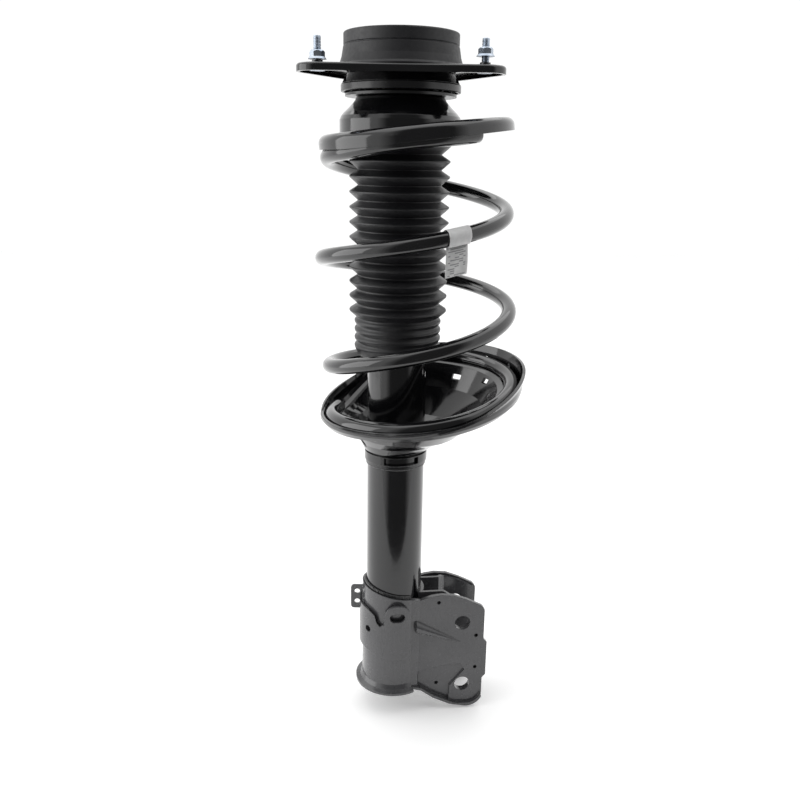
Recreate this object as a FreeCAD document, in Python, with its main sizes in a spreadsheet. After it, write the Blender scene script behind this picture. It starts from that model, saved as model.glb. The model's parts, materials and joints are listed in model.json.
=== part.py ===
"""Front suspension strut with its coil spring, dust boot and top mount.

Frame: +Z up the piston rod, +X towards the knuckle bracket, millimetres.
Origin: centre of the three-stud pattern on the top face of the mount plate.
The damper is drawn at full extension, resting on its rebound stop.
"""

import FreeCAD
import Part
import Sketcher
import math
import os
import re

V = FreeCAD.Vector
UP = V(0, 0, 1)

# Driving dimensions: alias, value in mm or degrees, what it is.
SIZES = [
    ("stud_circle", 145.2, "pitch circle of the mount studs"),
    ("stud_azimuth", 83, "direction of the first stud, seen from above"),
    ("stud_diameter", 6, "mount studs, M6"),
    ("stud_top", 19.5, "height of the stud ends"),
    ("nut_flats", 10, "flange nut across flats"),
    ("nut_flange", 14.2, "flange nut washer face"),
    ("lobe_radius", 16, "plate corner round each stud"),
    ("plate_thickness", 3, "mount plate sheet"),
    ("plate_lip", 6.0, "depth of the turned-down edge"),
    ("dome_base", 100.4, "rubber dome diameter at the plate"),
    ("dome_diameter", 91.4, "rubber dome diameter at its rim"),
    ("dome_top", 26.5, "height of the rubber dome"),
    ("housing_diameter", 81, "steel cup inside the dome"),
    ("sleeve_diameter", 26, "inner steel bush of the mount"),
    ("bearing_diameter", 95.7, "upper bearing housing"),
    ("bearing_top", -11.5, "top of the upper bearing housing"),
    ("ball_circle", 76, "pitch circle of the bearing balls"),
    ("ball_diameter", 3.2, "bearing balls"),
    ("ball_level", -16, "height of the ball centres"),
    ("lower_housing", 89, "lower bearing housing diameter"),
    ("seat_sheet", 2.2, "upper spring seat sheet"),
    ("neck_diameter", 73, "upper spring seat neck"),
    ("drum_diameter", 98, "upper spring seat drum"),
    ("pan_diameter", 158.4, "upper spring pan"),
    ("pan_offset", 12.2, "pan centre, outboard of the rod"),
    ("pan_level", -42.2, "height of the pan at its centre"),
    ("pan_tilt", 6.3, "slope of the pan, degrees"),
    ("pan_wall", 15, "height of the pan's outer wall"),
    ("isolator", 1.5, "rubber between pan and spring"),
    ("wire_diameter", 12.5, "spring wire"),
    ("rod_diameter", 22, "piston rod"),
    ("rod_shank", 14, "threaded top end of the rod"),
    ("rod_shoulder", -8, "shoulder that the mount sleeve sits on"),
    ("rod_top", 24.5, "top end of the rod"),
    ("bump_bottom", -76, "lower end of the bump stop"),
    ("piston_top", -319, "upper face of the piston"),
    ("piston_length", 16, "piston"),
    ("bore_diameter", 32, "inside of the pressure tube"),
    ("pressure_wall", 1.5, "pressure tube wall"),
    ("tube_diameter", 51, "outside of the damper tube"),
    ("tube_wall", 2.5, "damper tube wall"),
    ("tube_top", -203, "upper end of the damper tube"),
    ("tube_bottom", -548, "lower end of the damper tube"),
    ("boot_top", -41, "upper end of the dust boot"),
    ("boot_wall", 1.3, "rubber thickness of the boot"),
    ("boot_crest", 82.5, "large folds, outside diameter"),
    ("boot_valley", 68, "between the large folds"),
    ("boot_pitch", 12.16, "spacing of the large folds"),
    ("boot_first", -57.3, "height of the first fold"),
    ("small_crest", 73.8, "small folds, outside diameter"),
    ("small_valley", 69.6, "between the small folds"),
    ("small_pitch", 7.13, "spacing of the small folds"),
    ("small_first", -200.5, "height of the first small fold"),
    ("boot_bottom", -229.6, "lower end of the boot"),
    ("collar_top", -316.8, "top of the collar under the spring dish"),
    ("collar_bottom", -327.5, "its lower end"),
    ("collar_diameter", 56, "its outside"),
    ("dish_sheet", 2.6, "lower spring dish sheet"),
    ("wrap_sheet", 3.8, "outer bracket sheet"),
    ("ear_width", 48, "over the outer faces of the ears"),
    ("channel_sheet", 2.8, "inner bracket sheet"),
    ("ear_edge", 83.3, "outboard edge of the ears"),
    ("bolt_diameter", 14.5, "knuckle bolt holes"),
    ("upper_bolt_out", 62.5, "upper bolt hole, outboard of the rod"),
    ("upper_bolt_level", -483.7, "its height"),
    ("lower_bolt_out", 64, "lower bolt hole, outboard of the rod"),
    ("lower_bolt_level", -549.3, "its height"),
    ("running_gap", 0.03, "radial running clearance on the rod"),
    ("joint_gap", 0.05, "clearance between parts that touch"),
]

BIG_FOLDS = 12
SMALL_FOLDS = 4
BALLS = 24
DISH_STEPS = 36

# The spring's centre line: turn, height, coil radius, offset of the coil's axis.
# Turn 0 is on the inboard side in the lower dish and the wire rises anticlockwise.
COIL_STATIONS = [
    (-0.05, -285.6, 78.2, 22.0),
    (0.0, -285.0, 78.2, 22.0),
    (0.25, -274.0, 78.2, 22.0),
    (0.5, -253.5, 78.2, 22.0),
    (0.75, -247.5, 78.0, 21.4),
    (1.0, -240.8, 77.4, 19.0),
    (1.25, -215.0, 77.4, 17.9),
    (1.5, -188.5, 77.2, 17.4),
    (1.75, -169.5, 76.8, 15.5),
    (2.0, -149.0, 76.4, 13.0),
    (2.25, -129.5, 76.4, 12.2),
    (2.5, -108.0, 76.2, 12.2),
    (2.75, -86.5, 74.5, 12.0),
    (3.0, -68.0, 70.4, 11.6),
    (3.12, -62.4, 68.4, 11.8),
    (3.25, -54.9, 67.8, 12.2),
    (3.33, -51.1, 67.7, 12.2),
    (3.37, -49.1, 67.7, 12.2),
]
COIL_START = 173.0
DISH_RADIUS = 78.2
DISH_OFFSET = 22.0

# The lower dish, by turns of azimuth from COIL_START: how high its rim stands.
RIM_STATIONS = [(-0.1, -284.0), (0.0, -284.0), (0.25, -276.5), (0.5, -240.0), (0.75, -241.5),
                (0.88, -268.0), (1.0, -284.0)]
DROP_START, DROP_END = 0.77, 0.94

doc = FreeCAD.newDocument("Strut")
sheet = doc.addObject("Spreadsheet::Sheet", "Sizes")
for row, (alias, value, note) in enumerate(SIZES, start=1):
    sheet.set(f"A{row}", note)
    sheet.set(f"B{row}", str(value))
    sheet.setAlias(f"B{row}", alias)
doc.recompute()

parts = []


# ---------------------------------------------------------------- helpers

def bound(expression):
    """An expression over the sheet's aliases, ready for setExpression."""
    names = {alias for alias, _, _ in SIZES}
    return re.sub(r"[a-z_]+", lambda m: "Sizes." + m[0] if m[0] in names else m[0], str(expression))


def size(expression):
    """The present value of an expression over the sheet's aliases."""
    result = sheet.evalExpression(bound(expression).replace("Sizes.", ""))
    return float(result)


def finished(thing, label):
    """Register a document object as the sub-part called label."""
    thing.Label = label
    parts.append(thing)
    return thing


def new_body(label):
    return finished(doc.addObject("PartDesign::Body", label.title().replace("_", "")), label)


def new_sketch(body, role, turn=0.0, lift=None):
    """A sketch on one of the body's own origin planes.

    turn swings an XZ sketch about the strut's axis; lift raises an XY sketch to a height.
    """
    sketch = body.newObject("Sketcher::SketchObject", "Sketch")
    plane = next(f for f in body.Origin.OriginFeatures if f.Role == role)
    sketch.AttachmentSupport = [(plane, "")]
    sketch.MapMode = "FlatFace"
    if turn:
        sketch.AttachmentOffset = FreeCAD.Placement(V(), FreeCAD.Rotation(V(0, 1, 0), turn))
    if lift is not None:
        sketch.setExpression("AttachmentOffset.Base.z", bound(lift))
    return sketch


def draw_loop(sketch, corners):
    """A closed outline; a corner is (x, y), or (x, y, via_x, via_y) when an arc arrives there."""
    first = sketch.GeometryCount
    count = len(corners)
    spots = [V(size(c[0]), size(c[1]), 0) for c in corners]
    for i, corner in enumerate(corners):
        start = spots[i - 1]
        if len(corner) == 4:
            middle = V(size(corner[2]), size(corner[3]), 0)
            sketch.addGeometry(Part.Arc(start, middle, spots[i]))
        else:
            sketch.addGeometry(Part.LineSegment(start, spots[i]))
    ends = []
    for i in range(count):
        forward = (sketch.getPoint(first + i, 2) - spots[i]).Length < 1e-6
        ends.append((1, 2) if forward else (2, 1))
    for i in range(count):
        following = (i + 1) % count
        sketch.addConstraint(Sketcher.Constraint(
            "Coincident", first + i, ends[i][1], first + following, ends[following][0]))
    for i, corner in enumerate(corners):
        for kind, text, number in (("DistanceX", corner[0], spots[i].x), ("DistanceY", corner[1], spots[i].y)):
            index = sketch.addConstraint(Sketcher.Constraint(kind, -1, 1, first + i, ends[i][1], number))
            sketch.setExpression(f"Constraints[{index}]", bound(text))


def draw_circle(sketch, across, along, radius):
    """A circle at (across, along)."""
    index = sketch.addGeometry(Part.Circle(V(size(across), size(along), 0), UP, size(radius)))
    for kind, text in (("DistanceX", across), ("DistanceY", along)):
        spot = sketch.addConstraint(Sketcher.Constraint(kind, -1, 1, index, 3, size(text)))
        sketch.setExpression(f"Constraints[{spot}]", bound(text))
    spot = sketch.addConstraint(Sketcher.Constraint("Radius", index, size(radius)))
    sketch.setExpression(f"Constraints[{spot}]", bound(radius))


def revolve(body, sketch, axis="V_Axis", angle=360.0):
    feature = body.newObject("PartDesign::Revolution", "Revolution")
    feature.Profile = sketch
    feature.ReferenceAxis = (sketch, [axis])
    feature.Angle = angle
    sketch.Visibility = False
    doc.recompute()
    return feature


def pad(body, sketch, length, both=False, down=False):
    feature = body.newObject("PartDesign::Pad", "Pad")
    feature.Profile = sketch
    feature.setExpression("Length", bound(length))
    feature.Midplane = both
    feature.Reversed = down
    doc.recompute()
    return feature


def pocket(body, sketch, length, both=False, flip=False):
    """Cut the sketch into the body, and insist that something was removed."""
    before = body.Shape.Volume
    feature = body.newObject("PartDesign::Pocket", "Pocket")
    feature.Profile = sketch
    feature.setExpression("Length", bound(length))
    feature.Midplane = both
    feature.Reversed = flip
    doc.recompute()
    if body.Shape.Volume > before - 1e-3:
        raise RuntimeError(body.Label + ": pocket cut nothing")
    return feature


def pattern(body, features, count):
    """Repeat features about the strut's axis."""
    polar = body.newObject("PartDesign::PolarPattern", "Pattern")
    polar.Originals = features
    axis = next(f for f in body.Origin.OriginFeatures if f.Role == "Z_Axis")
    polar.Axis = (axis, [""])
    polar.Angle = 360
    polar.Occurrences = count
    body.Tip = polar
    doc.recompute()
    return polar


def soften(body, radius, wanted, kind="Fillet"):
    """Round or bevel the edges of the body's tip for which wanted(edge) is true."""
    base = body.Tip
    names = [f"Edge{i}" for i, edge in enumerate(base.Shape.Edges, start=1) if wanted(edge)]
    feature = body.newObject("PartDesign::" + kind, kind)
    feature.Base = (base, names)
    if kind == "Fillet":
        feature.Radius = radius
    else:
        feature.Size = radius
    doc.recompute()
    return feature


def rim(radius, level, tolerance=0.05):
    """Chooses the full circles of a given radius and height about the strut's axis."""
    def wanted(edge):
        curve = edge.Curve
        if not isinstance(curve, Part.Circle):
            return False
        return abs(curve.Radius - size(radius)) < tolerance and abs(curve.Center.z - size(level)) < tolerance
    return wanted


def turned(label, corners, rounded=()):
    """A part turned about the strut's axis, from its half section; rounded holds (radius, level, fillet)."""
    body = new_body(label)
    sketch = new_sketch(body, "XZ_Plane")
    draw_loop(sketch, corners)
    revolve(body, sketch)
    for radius, level, fillet in rounded:
        soften(body, fillet, rim(radius, level))
    return body


def spot_at(radius, azimuth, level=0.0):
    """A point at an azimuth about the strut's axis."""
    angle = math.radians(azimuth)
    return V(radius * math.cos(angle), radius * math.sin(angle), level)


def hexagon(flats, level, height):
    """A hexagonal prism on the strut's axis."""
    reach = flats / math.sqrt(3)
    ring = [spot_at(reach, 60 * i, level) for i in range(7)]
    return Part.Face(Part.makePolygon(ring)).extrude(V(0, 0, height))


def group(label, shapes):
    """Identical pieces that share one node."""
    feature = doc.addObject("Part::Feature", label.title().replace("_", ""))
    feature.Shape = Part.makeCompound(shapes)
    return finished(feature, label)


# ---------------------------------------------------------------- top mount

def stud_place(i):
    """Expressions for the centre of stud i."""
    angle = f"(stud_azimuth + {120 * i})"
    return f"stud_circle / 2 * cos{angle}", f"stud_circle / 2 * sin{angle}"


def stud_spots():
    return [spot_at(size("stud_circle") / 2, size("stud_azimuth") + 120 * i) for i in range(3)]


def lobe_outline(inset):
    """The plate's outline: a round corner about each stud and straight sides between them."""
    corners = []
    for i in range(3):
        x, y = stud_place(i)
        reach = f"(lobe_radius - {inset})"
        start, tip, end = (f"(stud_azimuth + {120 * i + swing})" for swing in (-60, 0, 60))
        corners.append((f"{x} + {reach} * cos{start}", f"{y} + {reach} * sin{start}"))
        corners.append((f"{x} + {reach} * cos{end}", f"{y} + {reach} * sin{end}",
                        f"{x} + {reach} * cos{tip}", f"{y} + {reach} * sin{tip}"))
    return corners


def mount_plate():
    """Three-lobed plate with a turned-down edge, a low boss round each stud and a central hole."""
    body = new_body("mount_plate")
    outline = new_sketch(body, "XY_Plane")
    draw_loop(outline, lobe_outline(0))
    pad(body, outline, "plate_lip", down=True)
    soften(body, 2.4, lambda edge: edge.BoundBox.ZMin > -0.01)
    hollow = new_sketch(body, "XY_Plane", lift="-plate_lip")
    draw_loop(hollow, lobe_outline(2.6))
    pocket(body, hollow, "plate_lip - plate_thickness", flip=True)
    centre = new_sketch(body, "XY_Plane")
    draw_circle(centre, 0, 0, "housing_diameter / 2 - 3")
    pocket(body, centre, "plate_lip")
    bosses = new_sketch(body, "XY_Plane", lift="-0.5")
    for i in range(3):
        draw_circle(bosses, *stud_place(i), "stud_diameter / 2 + 1.1")
    pad(body, bosses, 2.9)
    bores = new_sketch(body, "XY_Plane", lift="3")
    for i in range(3):
        draw_circle(bores, *stud_place(i), "stud_diameter / 2 + joint_gap")
    pocket(body, bores, 10)


def mount_studs():
    """Pressed-in studs: a round head under the plate and a threaded shank."""
    radius = size("stud_diameter") / 2
    under = -size("plate_thickness")
    shapes = []
    for spot in stud_spots():
        head = Part.makeCylinder(radius + 3, 2, spot + V(0, 0, under - 2.05))
        shank = Part.makeCylinder(radius, size("stud_top") - under + 0.7, spot + V(0, 0, under - 1.5))
        tip = Part.makeCone(radius, radius - 0.8, 0.8, spot + V(0, 0, size("stud_top") - 0.8))
        shapes.append(head.fuse(shank).fuse(tip).removeSplitter())
    group("mount_studs", shapes)


def stud_nuts():
    """Flange nuts, run a few turns down each stud."""
    bore = size("stud_diameter") / 2 + size("joint_gap")
    flange = size("nut_flange") / 2
    shapes = []
    for spot, level in zip(stud_spots(), (4.4, 3.0, 6.7)):
        disc = Part.makeCone(flange, flange - 1.3, 1.6)
        hexed = hexagon(size("nut_flats"), 1.0, 5.4)
        crown = Part.makeCone(size("nut_flats") / 2 + 1.7, size("nut_flats") / 2 - 0.6, 2.3, V(0, 0, 4.1))
        stem = Part.makeCylinder(size("nut_flats"), 3.6, V(0, 0, 0.5))
        nut = disc.fuse(hexed.common(crown.fuse(stem)))
        nut = nut.cut(Part.makeCylinder(bore, 10, V(0, 0, -1))).removeSplitter()
        nut.translate(spot + V(0, 0, level))
        shapes.append(nut)
    group("stud_nuts", shapes)


def mount_pieces():
    """Rubber dome over its steel cup, the bush inside it, and the nut that holds the rod."""
    turned("mount_rubber", [
        ("housing_diameter / 2 + joint_gap", "joint_gap"), ("dome_base / 2", "joint_gap"),
        ("dome_base / 2", 1.2), ("dome_base / 2 - 1.2", 2.8),
        ("dome_diameter / 2 + 1.5", 8.5), ("dome_diameter / 2 + 0.2", 16.2),
        ("dome_diameter / 2 - 0.5", 16.6), ("dome_diameter / 2 - 0.5", 17.2),
        ("dome_diameter / 2", 17.6), ("dome_diameter / 2", "dome_top - 1.2"),
        ("dome_diameter / 2 - 1.2", "dome_top", "dome_diameter / 2 - 0.35", "dome_top - 0.35"),
        (31, "dome_top"), (29, "dome_top - 1.4"), (26.2, 20.5), ("housing_diameter / 2 + joint_gap", 20.5)])
    turned("mount_housing", [
        ("housing_diameter / 2 - 2.5", "joint_gap"), ("housing_diameter / 2", "joint_gap"),
        ("housing_diameter / 2", 20.4), (26.4, 20.4), (26.4, 17.9), ("housing_diameter / 2 - 2.5", 17.9)],
        rounded=[("housing_diameter / 2", 20.4, 2)])
    turned("mount_lower_cup", [
        (33, "-plate_thickness - joint_gap"), (42, "-plate_thickness - joint_gap"),
        (43.2, -4.4), ("bearing_diameter / 2 - 0.4", "bearing_top + joint_gap"),
        ("bearing_diameter / 2 - 3", "bearing_top + joint_gap"), (40.6, -5.6), (33, -5.6)])
    turned("mount_bush", [
        ("sleeve_diameter / 2 + joint_gap", -4.6), (21, -4.6), (28, 0.8), (37.9, 0.8), (37.9, 17.8),
        (29, 17.8), (23, 12.6), ("sleeve_diameter / 2 + joint_gap", 12.6)])
    turned("mount_sleeve", [
        ("rod_shank / 2 + joint_gap", "rod_shoulder"), (20, "rod_shoulder"), (20, "rod_shoulder + 3"),
        ("sleeve_diameter / 2", "rod_shoulder + 3"), ("sleeve_diameter / 2", 13.6),
        ("rod_shank / 2 + joint_gap", 13.6)])
    turned("rod_washer", [
        ("rod_shank / 2 + 0.3", 13.65), (19, 13.65), (19, 16), ("rod_shank / 2 + 0.3", 16)],
        rounded=[(19, 16, 0.8)])
    nut = hexagon(22, 16.05, 7.4)
    nut = nut.common(Part.makeCone(13.4, 9.4, 9, V(0, 0, 15.6)).fuse(Part.makeCylinder(13, 4, V(0, 0, 16))))
    nut = nut.cut(Part.makeCylinder(size("rod_shank") / 2 + size("joint_gap"), 12, V(0, 0, 14)))
    group("rod_nut", [nut.removeSplitter()])


def bearing_pieces():
    """Strut bearing: ribbed upper housing, balls in their cage, lower housing."""
    turned("bearing_upper_housing", [
        (33, "bearing_top"), ("bearing_diameter / 2", "bearing_top"),
        ("bearing_diameter / 2", "bearing_top - 5.8"), ("bearing_diameter / 2 - 2.4", "bearing_top - 5.8"),
        ("bearing_diameter / 2 - 2.4", "bearing_top - 2.6"), (33, "bearing_top - 2.6")],
        rounded=[("bearing_diameter / 2", "bearing_top", 0.8), ("bearing_diameter / 2", "bearing_top - 5.8", 0.8)])
    turned("bearing_lower_housing", [
        (33, -20.5), ("lower_housing / 2", -20.5), ("lower_housing / 2", -18.6),
        ("lower_housing / 2 - 0.6", -18), (33, -18)])
    cage = turned("bearing_cage", [
        ("ball_circle / 2 - 2.6", "ball_level - 0.7"), ("ball_circle / 2 + 2.6", "ball_level - 0.7"),
        ("ball_circle / 2 + 2.6", "ball_level + 0.7"), ("ball_circle / 2 - 2.6", "ball_level + 0.7")])
    hole = new_sketch(cage, "XY_Plane", lift="ball_level + 2")
    draw_circle(hole, "ball_circle / 2", 0, "ball_diameter / 2 + joint_gap")
    cut = pocket(cage, hole, 4)
    pattern(cage, [cut], BALLS)
    centres = [spot_at(size("ball_circle") / 2, 360 * i / BALLS, size("ball_level")) for i in range(BALLS)]
    group("bearing_balls", [Part.makeSphere(size("ball_diameter") / 2, centre) for centre in centres])


# ---------------------------------------------------------------- upper spring seat

def pan_corner(radius, depth, via=None):
    """A corner of the tilted pan's section: radius from its axis, depth under its top face."""
    def pair(r, d):
        return (f"pan_offset + ({r}) * cos(pan_tilt) + ({d}) * sin(pan_tilt)",
                f"pan_level + ({r}) * sin(pan_tilt) - ({d}) * cos(pan_tilt)")
    corner = pair(radius, depth)
    return corner + pair(*via) if via else corner


def tilted_sketch(body, corners):
    """A section on the pan's tilted axis, which is drawn first as a construction line."""
    sketch = new_sketch(body, "XZ_Plane")
    foot, head = (V(size(x), size(z), 0) for x, z in (pan_corner(0, 40), pan_corner(0, -40)))
    sketch.addGeometry(Part.LineSegment(foot, head), True)
    for point, (x, z) in ((1, pan_corner(0, 40)), (2, pan_corner(0, -40))):
        for kind, text in (("DistanceX", x), ("DistanceY", z)):
            index = sketch.addConstraint(Sketcher.Constraint(kind, -1, 1, 0, point, size(text)))
            sketch.setExpression(f"Constraints[{index}]", bound(text))
    draw_loop(sketch, corners)
    return sketch


def upper_spring_seat():
    """Pressed seat: neck and drum about the rod, and a tilted pan, set outboard, over the top coil."""
    body = new_body("upper_spring_seat")
    core = new_sketch(body, "XZ_Plane")
    draw_loop(core, [
        (30.5, -22.8), (30.5, -20.6), (34.8, -20.6), (35.8, -21.4), ("neck_diameter / 2", -23.4),
        (41.2, -28.6), (45.6, -32.8), ("drum_diameter / 2 - 1.2", -35.4), ("drum_diameter / 2", -38.4),
        ("drum_diameter / 2", -50), ("drum_diameter / 2 - seat_sheet", -50),
        ("drum_diameter / 2 - seat_sheet", -38.9), ("drum_diameter / 2 - seat_sheet - 1", -36.4),
        (39.6, -30.2),
        ("neck_diameter / 2 - seat_sheet", -24.6), (33.4, -22.8)])
    revolve(body, core)
    outer = "pan_diameter / 2"
    inner = "pan_diameter / 2 - seat_sheet"
    pan = tilted_sketch(body, [
        pan_corner(34, "seat_sheet"), pan_corner(34, 0), pan_corner(outer + " - 6.4", 0),
        pan_corner(outer, 6.4, (outer + " - 1.87", 1.87)), pan_corner(outer, "pan_wall"),
        pan_corner(inner, "pan_wall"), pan_corner(inner, 6.4),
        pan_corner(inner + " - 4.2", "seat_sheet", (inner + " - 1.23", "seat_sheet + 1.23"))])
    revolve(body, pan, axis="Axis0")
    hem = new_sketch(body, "XZ_Plane")
    draw_loop(hem, [(-110, -62.2), (-50, -61.6), (-36, -60.4), (10, -54.5), (60, -48), (130, -39),
                    (130, -120), (-110, -120)])
    pocket(body, hem, 300, both=True)
    throat = new_sketch(body, "XY_Plane", lift="-37.2")
    draw_circle(throat, 0, 0, "drum_diameter / 2 - seat_sheet")
    pocket(body, throat, 20)

    body = new_body("upper_isolator")
    top, bottom = "seat_sheet + joint_gap", "seat_sheet + isolator"
    strip = tilted_sketch(body, [
        pan_corner(61.6, top), pan_corner("pan_diameter / 2 - seat_sheet - 4.6", top),
        pan_corner("pan_diameter / 2 - seat_sheet - 4.6", bottom), pan_corner(61.6, bottom)])
    revolve(body, strip, axis="Axis0")


# ---------------------------------------------------------------- spring

def along_stations(stations, turn, column):
    """A smooth curve through one column of a list of stations."""
    last = len(stations) - 1
    i = max(k for k in range(last) if stations[k][0] <= turn + 1e-9 or k == 0)
    x0, x1 = stations[i][0], stations[i + 1][0]

    def slope(k):
        low, high = max(k - 1, 0), min(k + 1, last)
        return (stations[high][column] - stations[low][column]) / (stations[high][0] - stations[low][0])

    span = x1 - x0
    part = min(max((turn - x0) / span, 0.0), 1.0)
    start, end = stations[i][column], stations[i + 1][column]
    rise0, rise1 = slope(i) * span, slope(i + 1) * span
    return ((2 * part ** 3 - 3 * part ** 2 + 1) * start + (part ** 3 - 2 * part ** 2 + part) * rise0
            + (3 * part ** 2 - 2 * part ** 3) * end + (part ** 3 - part ** 2) * rise1)


def coil_point(turn):
    """The centre of the wire at a number of turns from the start of the lower coil."""
    level, radius, offset = (along_stations(COIL_STATIONS, turn, column) for column in (1, 2, 3))
    return spot_at(radius, COIL_START + 360 * turn, level) + V(offset, 0, 0)


def coil_spring():
    """Round wire along the coil's centre line."""
    first, last = COIL_STATIONS[0][0], COIL_STATIONS[-1][0]
    steps = 72
    turns = [first + (last - first) * i / steps for i in range(steps + 1)]
    path = Part.BSplineCurve()
    path.interpolate([coil_point(turn) for turn in turns])
    start = path.value(path.FirstParameter)
    heading = path.tangent(path.FirstParameter)[0]
    circle = Part.Wire([Part.makeCircle(size("wire_diameter") / 2, start, heading)])
    wire = Part.Wire([path.toShape()]).makePipeShell([circle], True, True)
    group("coil_spring", [wire])
    expected = math.pi * (size("wire_diameter") / 2) ** 2 * path.length()
    print("spring volume against section times length:", wire.Volume / expected)


def coil_label():
    """Paper band round the wire, with its two ends stuck together and hanging down."""
    middle = 2.318
    centre = coil_point(middle)
    along = (coil_point(middle + 0.01) - coil_point(middle - 0.01)).normalize()
    frame = FreeCAD.Placement(centre - along * 9.5, FreeCAD.Rotation(UP, along))
    radius = size("wire_diameter") / 2
    band = Part.makeCylinder(radius + 1.05, 19).cut(Part.makeCylinder(radius + 0.7, 19))
    band.Placement = frame
    outward = V(centre.x, centre.y, 0).normalize()
    flat = V(along.x, along.y, 0).normalize()
    tail = Part.makeBox(19, 0.5, 24)
    down = UP * -1
    matrix = FreeCAD.Matrix(flat.x, outward.x, down.x, 0, flat.y, outward.y, down.y, 0,
                            flat.z, outward.z, down.z, 0, 0, 0, 0, 1)
    tail.transformShape(matrix)
    tail.translate(centre - flat * 9.5 - UP * (radius - 1.5) + outward * 0.8)
    label = band.fuse(tail.cut(Part.makeCylinder(radius + 0.7, 60, centre - along * 30, along)))
    group("coil_label", [max(label.Solids, key=lambda solid: solid.Volume)])


# ---------------------------------------------------------------- boot and rod

def fold_corners():
    """The boot's outer crests and valleys from the top down: radius and height."""
    corners = []
    for i in range(BIG_FOLDS):
        crest = f"boot_first - {i} * boot_pitch"
        corners.append(("boot_valley / 2", f"{crest} + 0.43 * boot_pitch"))
        corners.append(("boot_crest / 2", f"{crest} + 0.05 * boot_pitch"))
        corners.append(("boot_crest / 2", f"{crest} - 0.05 * boot_pitch"))
    for i in range(SMALL_FOLDS):
        crest = f"small_first - {i} * small_pitch"
        corners.append(("small_valley / 2", f"{crest} + 0.45 * small_pitch"))
        corners.append(("small_crest / 2", f"{crest} + 0.12 * small_pitch"))
        corners.append(("small_crest / 2", f"{crest} - 0.12 * small_pitch"))
    return corners


def dust_boot():
    """Bellows: a collar inside the drum, twelve large folds, four small ones and a lip on the tube."""
    outer = fold_corners()
    inner = [(f"{radius} - boot_wall", level) for radius, level in reversed(outer)]
    collar = "drum_diameter / 2 - seat_sheet - 0.6"
    top = [("boot_valley / 2 - boot_wall", "boot_top"), (collar, "boot_top"), (collar, "boot_top - 3"),
           ("boot_valley / 2 + 1", "boot_top - 3")]
    bottom = [("small_valley / 2", "boot_bottom + 2"), ("small_valley / 2 - 0.8", "boot_bottom"),
              ("tube_diameter / 2 + 0.3", "boot_bottom"), ("tube_diameter / 2 + 0.3", "boot_bottom + 2"),
              ("small_valley / 2 - boot_wall", "boot_bottom + 2")]
    turned("dust_boot", top + outer + bottom + inner)


def rod_pieces():
    """Everything carried by the piston rod."""
    rod = "rod_diameter / 2"
    shank = "rod_shank / 2"
    turned("piston_rod", [
        (0, "piston_top - piston_length - 11"), (6, "piston_top - piston_length - 11"),
        (6, "piston_top + joint_gap"), (rod, "piston_top + joint_gap"), (rod, "rod_shoulder - joint_gap"),
        (shank, "rod_shoulder - joint_gap"), (shank, "rod_top - 1"), (shank + " - 1", "rod_top"),
        (0, "rod_top")])
    turned("bump_stop_cup", [
        (rod + " + joint_gap", -8.1), (26, -8.1), (26, -17), (24.4, -17), (24.4, -9.8),
        (rod + " + joint_gap", -9.8)], rounded=[(26, -8.1, 1)])
    turned("bump_stop", [
        (rod + " + joint_gap", -9.9), (24.2, -9.9), (24.2, -26), (21.6, -29, 22.2, -27.2),
        (24, -33, 22.4, -31.2), (24, -44), (20.6, -47.5, 21.4, -45.2), (22.6, -51.5, 21, -49.8),
        (22.6, -60), (17.5, "bump_bottom + 4", 21.4, "bump_bottom + 8"), (15.5, "bump_bottom"),
        (rod + " + joint_gap", "bump_bottom")])
    turned("rebound_cushion", [
        (rod + " + joint_gap", -238.6), (15, -238.6), (15.4, -241), (15, -244.9),
        (rod + " + joint_gap", -244.9)])
    turned("rebound_ring", [
        (rod + " + joint_gap", -245), (15.2, -245), (15.2, -249), (rod + " + joint_gap", -249)])
    bore = "bore_diameter / 2"
    piston = turned("piston", [
        (6.05, "piston_top"), (bore + " - 0.1", "piston_top"), (bore + " - 0.1", "piston_top - 3"),
        (bore + " - 1.6", "piston_top - 3"), (bore + " - 1.6", "piston_top - 13"),
        (bore + " - 0.1", "piston_top - 13"), (bore + " - 0.1", "piston_top - piston_length"),
        (6.05, "piston_top - piston_length")])
    port = new_sketch(piston, "XY_Plane", lift="piston_top + 1")
    draw_circle(port, 10.4, 0, 1.4)
    cut = pocket(piston, port, "piston_length + 2")
    pattern(piston, [cut], 8)
    turned("piston_band", [
        (bore + " - 1.55", "piston_top - 3.05"), (bore + " - 0.03", "piston_top - 3.05"),
        (bore + " - 0.03", "piston_top - 12.95"), (bore + " - 1.55", "piston_top - 12.95")])
    face = "piston_top - piston_length"
    turned("piston_valve_discs", [
        (6.05, face + " - 0.05"), (13, face + " - 0.05"), (13, face + " - 0.8"), (11, face + " - 0.8"),
        (11, face + " - 2"), (6.05, face + " - 2")])
    low = size(face)
    nut = hexagon(18, low - 9.5, 7.4).cut(Part.makeCylinder(6.05, 12, V(0, 0, low - 12)))
    group("piston_nut", [nut])


# ---------------------------------------------------------------- damper tube

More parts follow.
